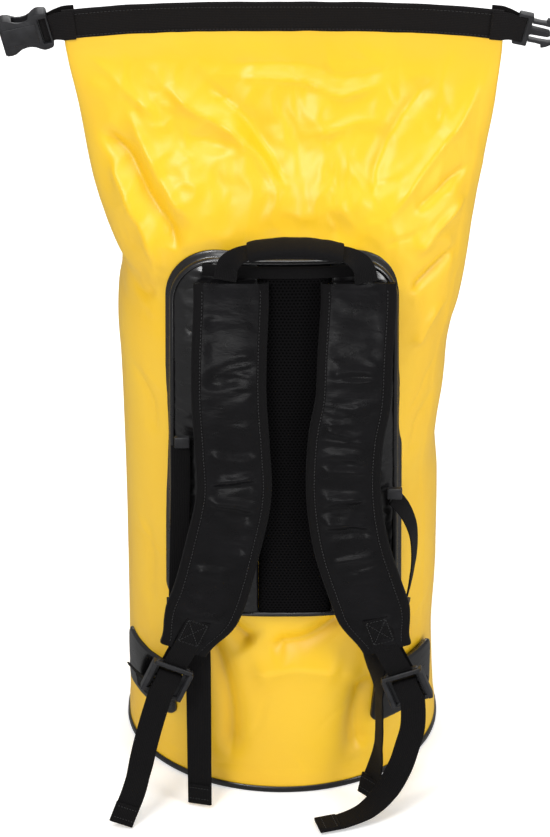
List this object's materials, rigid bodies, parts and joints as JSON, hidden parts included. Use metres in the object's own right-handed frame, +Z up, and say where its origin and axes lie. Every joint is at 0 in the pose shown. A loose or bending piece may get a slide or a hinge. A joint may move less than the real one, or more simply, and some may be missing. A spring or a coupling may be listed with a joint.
{
  "type": "dry bag",
  "caption": "Roll-top waterproof dry bag with padded back panel, shoulder straps, haul handle, waist and sternum straps and a buckled mouth.",
  "frame": {"origin": "centre of the round base's underside", "axes": "+Z up along the bag to its mouth, -Y towards the harness side, +X to the right seen from the harness side"},
  "size_m": [0.5394, 0.3583, 0.8325],
  "materials": {
    "yellow_coated_fabric": "glossy coated tarpaulin",
    "black_coated_fabric": "glossy coated fabric",
    "spacer_mesh": "matt spacer mesh",
    "foam": "closed-cell foam",
    "stiffener_plastic": "flexible strip",
    "buckle_plastic": "satin moulded acetal",
    "black_webbing": "woven webbing"
  },
  "bodies": {
    "bag": {"tube_lower": "yellow_coated_fabric", "tube_upper": "yellow_coated_fabric", "base_panel": "black_coated_fabric", "base_rim": "black_coated_fabric", "back_pad_foam": "foam", "left_panel_cover": "black_coated_fabric", "right_panel_cover": "black_coated_fabric", "mesh_strip": "spacer_mesh", "panel_piping": "black_coated_fabric", "strap_yoke": "black_webbing", "left_anchor_patch": "black_coated_fabric", "right_anchor_patch": "black_coated_fabric", "left_anchor_webbing": "black_webbing", "right_anchor_webbing": "black_webbing", "left_waist_root": "black_webbing", "right_waist_root": "black_webbing"},
    "roll_top": {"mouth_section": "yellow_coated_fabric", "front_mouth_band": "black_webbing", "mouth_stiffener": "stiffener_plastic", "rear_mouth_band": "black_webbing"},
    "left_tab": {"left_closure_tab": "black_webbing", "female_buckle": "buckle_plastic"},
    "right_tab": {"right_closure_tab": "black_webbing", "male_buckle": "buckle_plastic"},
    "upper_prong": {"upper_prong": "buckle_plastic"},
    "lower_prong": {"lower_prong": "buckle_plastic"},
    "handle": {"haul_handle": "black_webbing", "handle_grip": "black_coated_fabric"},
    "left_strap": {"left_strap_foam": "foam", "left_strap_face": "black_coated_fabric", "left_strap_back": "spacer_mesh", "left_strap_outer_binding": "black_webbing", "left_strap_inner_binding": "black_webbing", "left_end_webbing": "black_webbing"},
    "left_lock": {"left_ladder_lock": "buckle_plastic"},
    "left_tail": {"left_webbing_tail": "black_webbing"},
    "left_waist": {"left_waist_strap": "black_webbing"},
    "left_slider": {"left_sternum_slider": "buckle_plastic"},
    "left_sternum": {"left_sternum_webbing": "black_webbing", "sternum_female_buckle": "buckle_plastic"},
    "right_strap": {"right_strap_foam": "foam", "right_strap_face": "black_coated_fabric", "right_strap_back": "spacer_mesh", "right_strap_outer_binding": "black_webbing", "right_strap_inner_binding": "black_webbing", "right_end_webbing": "black_webbing"},
    "right_lock": {"right_ladder_lock": "buckle_plastic"},
    "right_tail": {"right_webbing_tail": "black_webbing"},
    "right_waist": {"right_waist_strap": "black_webbing"},
    "right_slider": {"right_sternum_slider": "buckle_plastic"},
    "right_sternum": {"right_sternum_webbing": "black_webbing", "sternum_male_buckle": "buckle_plastic"}
  },
  "joints": [
    {"name": "roll_top_fold", "type": "hinge", "parent": "bag", "child": "roll_top", "pos_m": [0, -0.0062, 0.7602], "axis": [1, 0, 0], "range_deg": [0, 110]},
    {"name": "left_tab_swing", "type": "hinge", "parent": "roll_top", "child": "left_tab", "pos_m": [-0.2175, 0, 0.804], "axis": [-0.2419, 0, 0.9703], "range_deg": [-55, 55]},
    {"name": "right_tab_swing", "type": "hinge", "parent": "roll_top", "child": "right_tab", "pos_m": [0.2175, 0, 0.804], "axis": [0.2419, 0, 0.9703], "range_deg": [-55, 55]},
    {"name": "upper_prong_flex", "type": "hinge", "parent": "right_tab", "child": "upper_prong", "pos_m": [0.24139, 0, 0.80887], "axis": [0, 1, 0], "range_deg": [0, 6.5], "stiffness_Nm_per_rad": 0.4},
    {"name": "lower_prong_flex", "type": "hinge", "parent": "right_tab", "child": "lower_prong", "pos_m": [0.23631, 0, 0.78849], "axis": [0, 1, 0], "range_deg": [-6.5, 0], "stiffness_Nm_per_rad": 0.4},
    {"name": "handle_swing", "type": "hinge", "parent": "bag", "child": "handle", "pos_m": [0.012, -0.1355, 0.5975], "axis": [1, 0, 0], "range_deg": [-20, 55]},
    {"name": "left_strap_swing", "type": "hinge", "parent": "bag", "child": "left_strap", "pos_m": [-0.05, -0.1305, 0.592], "axis": [-1, 0, 0], "range_deg": [0, 15]},
    {"name": "left_lock_tilt", "type": "hinge", "parent": "left_strap", "child": "left_lock", "pos_m": [-0.10675, -0.159, 0.16273], "axis": [-0.9205, 0, 0.3907], "range_deg": [0, 20]},
    {"name": "left_tail_swing", "type": "hinge", "parent": "left_lock", "child": "left_tail", "pos_m": [-0.11769, -0.1632, 0.13695], "axis": [-0.9205, 0, 0.3907], "range_deg": [0, 40]},
    {"name": "left_waist_swing", "type": "hinge", "parent": "bag", "child": "left_waist", "pos_m": [-0.0825, -0.1465, 0.174], "axis": [0, -1, 0], "range_deg": [0, 25]},
    {"name": "left_sternum_slide", "type": "slide", "parent": "left_strap", "child": "left_slider", "axis": [0, 0, 1], "range_m": [-0.012, 0.03]},
    {"name": "left_sternum_swing", "type": "hinge", "parent": "left_slider", "child": "left_sternum", "pos_m": [-0.099, -0.146, 0.413], "axis": [0, 1, 0], "range_deg": [0, 60]},
    {"name": "right_strap_swing", "type": "hinge", "parent": "bag", "child": "right_strap", "pos_m": [0.073, -0.1305, 0.592], "axis": [-1, 0, 0], "range_deg": [0, 15]},
    {"name": "right_lock_tilt", "type": "hinge", "parent": "right_strap", "child": "right_lock", "pos_m": [0.11603, -0.159, 0.15404], "axis": [-0.9397, 0, -0.342], "range_deg": [0, 20]},
    {"name": "right_tail_swing", "type": "hinge", "parent": "right_lock", "child": "right_tail", "pos_m": [0.1256, -0.1632, 0.12772], "axis": [-0.9397, 0, -0.342], "range_deg": [0, 40]},
    {"name": "right_waist_swing", "type": "hinge", "parent": "bag", "child": "right_waist", "pos_m": [0.0885, -0.1465, 0.174], "axis": [0, 1, 0], "range_deg": [0, 10]},
    {"name": "right_sternum_slide", "type": "slide", "parent": "right_strap", "child": "right_slider", "axis": [0, 0, 1], "range_m": [-0.012, 0.03]},
    {"name": "right_sternum_swing", "type": "hinge", "parent": "right_slider", "child": "right_sternum", "pos_m": [0.108, -0.142, 0.35], "axis": [0, -1, 0], "range_deg": [0, 60]}
  ],
  "couplings": [
    {"joint": "lower_prong_flex", "follows": "upper_prong_flex", "ratio": -1}
  ]
}
